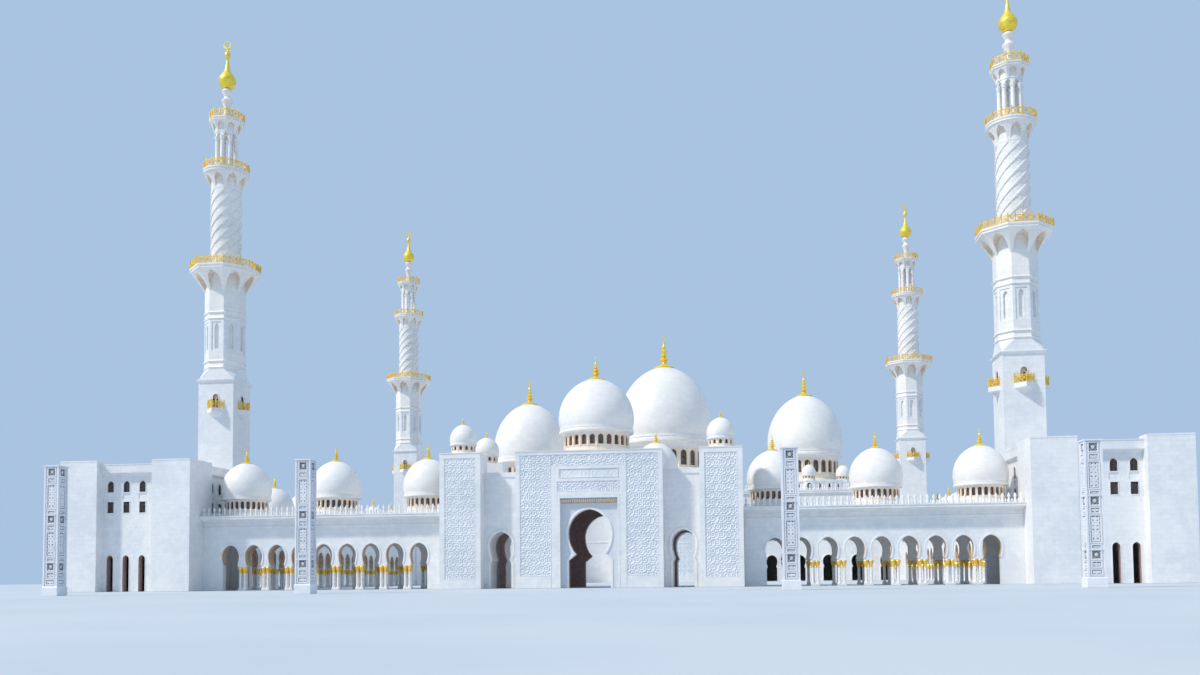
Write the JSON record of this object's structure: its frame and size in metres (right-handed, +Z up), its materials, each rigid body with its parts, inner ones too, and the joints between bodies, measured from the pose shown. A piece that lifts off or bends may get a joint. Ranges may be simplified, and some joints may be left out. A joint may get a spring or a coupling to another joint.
{
  "type": "scale model of a domed mosque building with four minarets",
  "caption": "Scale model of a white marble mosque: domed prayer hall, arcaded court, domed entrance gate and slender minarets with balconies and gold finials.",
  "frame": {"origin": "centre of the bottom of the bounding box, on the ground plane", "axes": "+X to the right along the entrance front, +Y from the entrance gate back to the prayer hall, +Z up"},
  "size_m": [18.776, 26.7986, 10.7],
  "materials": {
    "white_marble": "honed white marble cladding, warm in the sun",
    "carved_marble": "white marble carved in low relief with leaf scrolls",
    "gold_leaf": "bright gold leaf on metal",
    "window_glass": "dark brown glass"
  },
  "bodies": {
    "root": {"gate_rear_wall": "white_marble", "gate_side_wall_right": "white_marble", "gate_side_wall_left": "white_marble", "gate_roof": "white_marble", "gate_dome": "white_marble", "gate_wing_right": "white_marble", "gate_wing_left": "white_marble", "gate_tower_right": "white_marble", "gate_tower_left": "white_marble", "front_gallery_front_arcade_right": "white_marble", "front_gallery_front_arcade_left": "white_marble", "front_gallery_court_arcade_right": "white_marble", "front_gallery_court_arcade_left": "white_marble", "front_gallery_roof_right": "white_marble", "front_gallery_roof_left": "white_marble", "corner_front_wall_right": "white_marble", "corner_front_wall_left": "white_marble", "corner_block_right": "white_marble", "corner_block_left": "white_marble", "side_range_outer_arcade_right": "white_marble", "side_range_outer_arcade_left": "white_marble", "side_range_court_arcade_right": "white_marble", "side_range_court_arcade_left": "white_marble", "side_range_roof_right": "white_marble", "side_range_roof_left": "white_marble", "minaret_front_right": "white_marble", "minaret_front_left": "white_marble", "minaret_rear_right": "white_marble", "minaret_rear_left": "white_marble", "hall_front_wall": "white_marble", "hall_back_wall": "white_marble", "hall_side_wall_right": "white_marble", "hall_side_wall_left": "white_marble", "hall_roof": "white_marble", "main_dome": "white_marble", "side_dome_right": "white_marble", "side_dome_left": "white_marble", "foyer_porch": "white_marble", "foyer_dome": "white_marble", "gate_front_wall": "carved_marble", "light_tower_inner_right": "carved_marble", "light_tower_inner_left": "carved_marble", "light_tower_outer_right": "carved_marble", "light_tower_outer_left": "carved_marble", "gate_finial": "gold_leaf", "foyer_finial": "gold_leaf", "main_dome_finial": "gold_leaf", "side_dome_finial_right": "gold_leaf", "side_dome_finial_left": "gold_leaf", "minaret_finial_front_right": "gold_leaf", "minaret_finial_front_left": "gold_leaf", "minaret_finial_rear_right": "gold_leaf", "minaret_finial_rear_left": "gold_leaf", "corner_window_glass_right": "window_glass", "corner_window_glass_left": "window_glass"}
  },
  "joints": []
}
